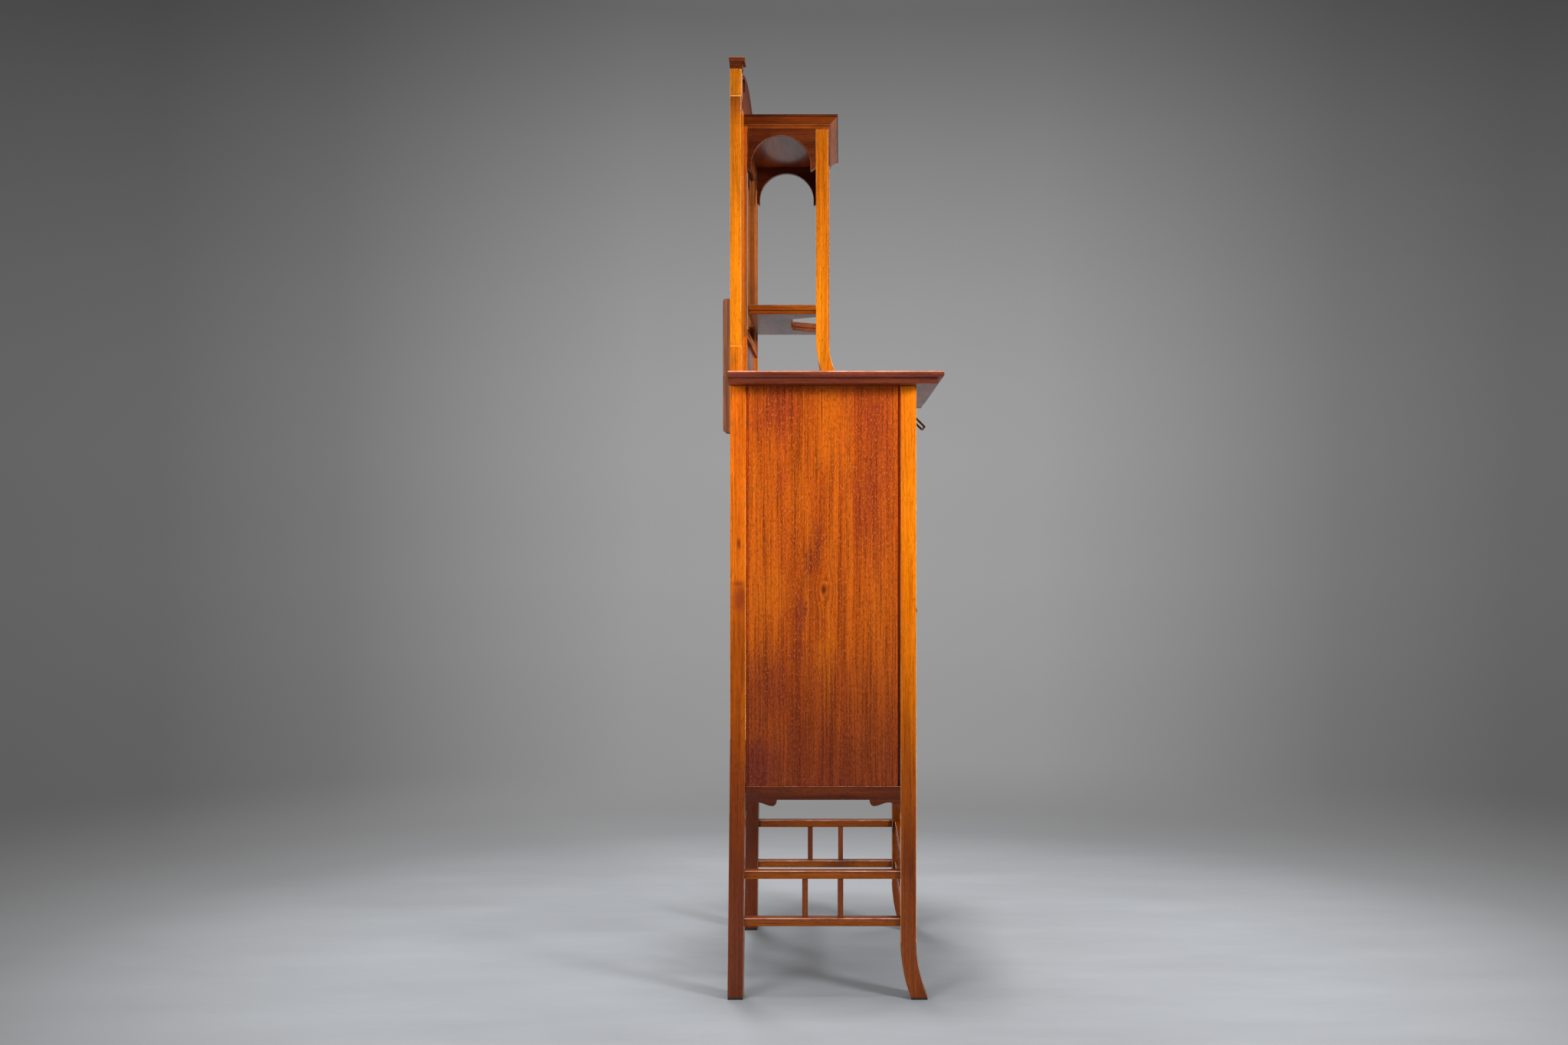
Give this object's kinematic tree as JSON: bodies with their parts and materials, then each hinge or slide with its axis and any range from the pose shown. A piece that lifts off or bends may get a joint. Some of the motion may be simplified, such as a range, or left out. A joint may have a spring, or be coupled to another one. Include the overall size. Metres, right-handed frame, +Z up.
{
  "type": "mirrored cabinet",
  "caption": "Narrow cabinet on tall swept legs, with a drawer, a mirrored door and a mirror-backed display niche under a canopy.",
  "frame": {"origin": "on the floor, under the middle of the whole cabinet's box", "axes": "+Z up, +X to the right seen from the front, and the door and drawer face -Y"},
  "size_m": [0.542, 0.422, 1.828],
  "materials": {
    "light_wood": "french polished mahogany, golden orange",
    "panel_wood": "polished mahogany veneer with dark streaks",
    "dark_wood": "polished red mahogany",
    "raw_wood": "aged unpolished softwood",
    "foot_pads": "dark felted pad",
    "mirror_glass": "silvered plate with a bevel",
    "old_brass": "darkened brass",
    "steel_screws": "dull steel"
  },
  "bodies": {
    "case": {"leg_front_left": "light_wood", "leg_front_right": "light_wood", "leg_rear_left": "light_wood", "leg_rear_right": "light_wood", "foot_pads": "foot_pads", "side_panel_left": "panel_wood", "side_panel_right": "panel_wood", "side_apron_left": "dark_wood", "side_apron_right": "dark_wood", "front_apron": "dark_wood", "side_upper_rails": "light_wood", "side_lower_rails": "light_wood", "front_upper_rail": "light_wood", "front_lower_rail": "light_wood", "side_spindles": "light_wood", "front_spindles": "light_wood", "bottom_board": "raw_wood", "back_panel": "raw_wood", "top_front_rail": "light_wood", "divider_rail": "light_wood", "drawer_runners": "raw_wood", "inner_shelves": "raw_wood", "shelf_cleats": "raw_wood", "top_slab": "dark_wood", "post_left": "light_wood", "post_right": "light_wood", "post_caps": "dark_wood", "side_boards": "light_wood", "mirror_stiles": "dark_wood", "mirror_rails": "dark_wood", "mirror_plate": "mirror_glass", "mirror_backboard": "raw_wood", "lower_panel": "dark_wood", "pediment": "dark_wood", "canopy_board": "dark_wood", "canopy_cornice": "dark_wood", "arch_boards": "dark_wood", "front_valance": "dark_wood", "column_left": "light_wood", "column_right": "light_wood", "display_shelf": "dark_wood", "back_battens": "raw_wood", "batten_screws": "steel_screws", "hinge_leaves_case": "old_brass", "hinge_pins": "old_brass"},
    "drawer": {"drawer_front": "light_wood", "drawer_sides": "raw_wood", "drawer_back": "raw_wood", "drawer_bottom": "raw_wood", "bail_posts": "old_brass"},
    "bail": {"drawer_bail": "old_brass"},
    "door": {"door_stile_hinge": "light_wood", "door_stile_lock": "light_wood", "door_rails": "light_wood", "door_mirror": "mirror_glass", "door_backing": "raw_wood", "hinge_leaves_door": "old_brass", "lock_body": "old_brass", "escutcheon": "old_brass"},
    "bolt": {"lock_bolt": "old_brass"}
  },
  "joints": [
    {"name": "drawer_slide", "type": "slide", "parent": "case", "child": "drawer", "axis": [0, -1, 0], "range_m": [0, 0.22]},
    {"name": "bail_swing", "type": "hinge", "parent": "drawer", "child": "bail", "pos_m": [0, -0.166, 1.137], "axis": [-1, 0, 0], "range_deg": [0, 75]},
    {"name": "door_swing", "type": "hinge", "parent": "case", "child": "door", "pos_m": [0.1905, -0.1655, 0.745], "axis": [0, 0, 1], "range_deg": [0, 100]},
    {"name": "bolt_throw", "type": "slide", "parent": "door", "child": "bolt", "axis": [-1, 0, 0], "range_m": [0, 0.007]}
  ]
}
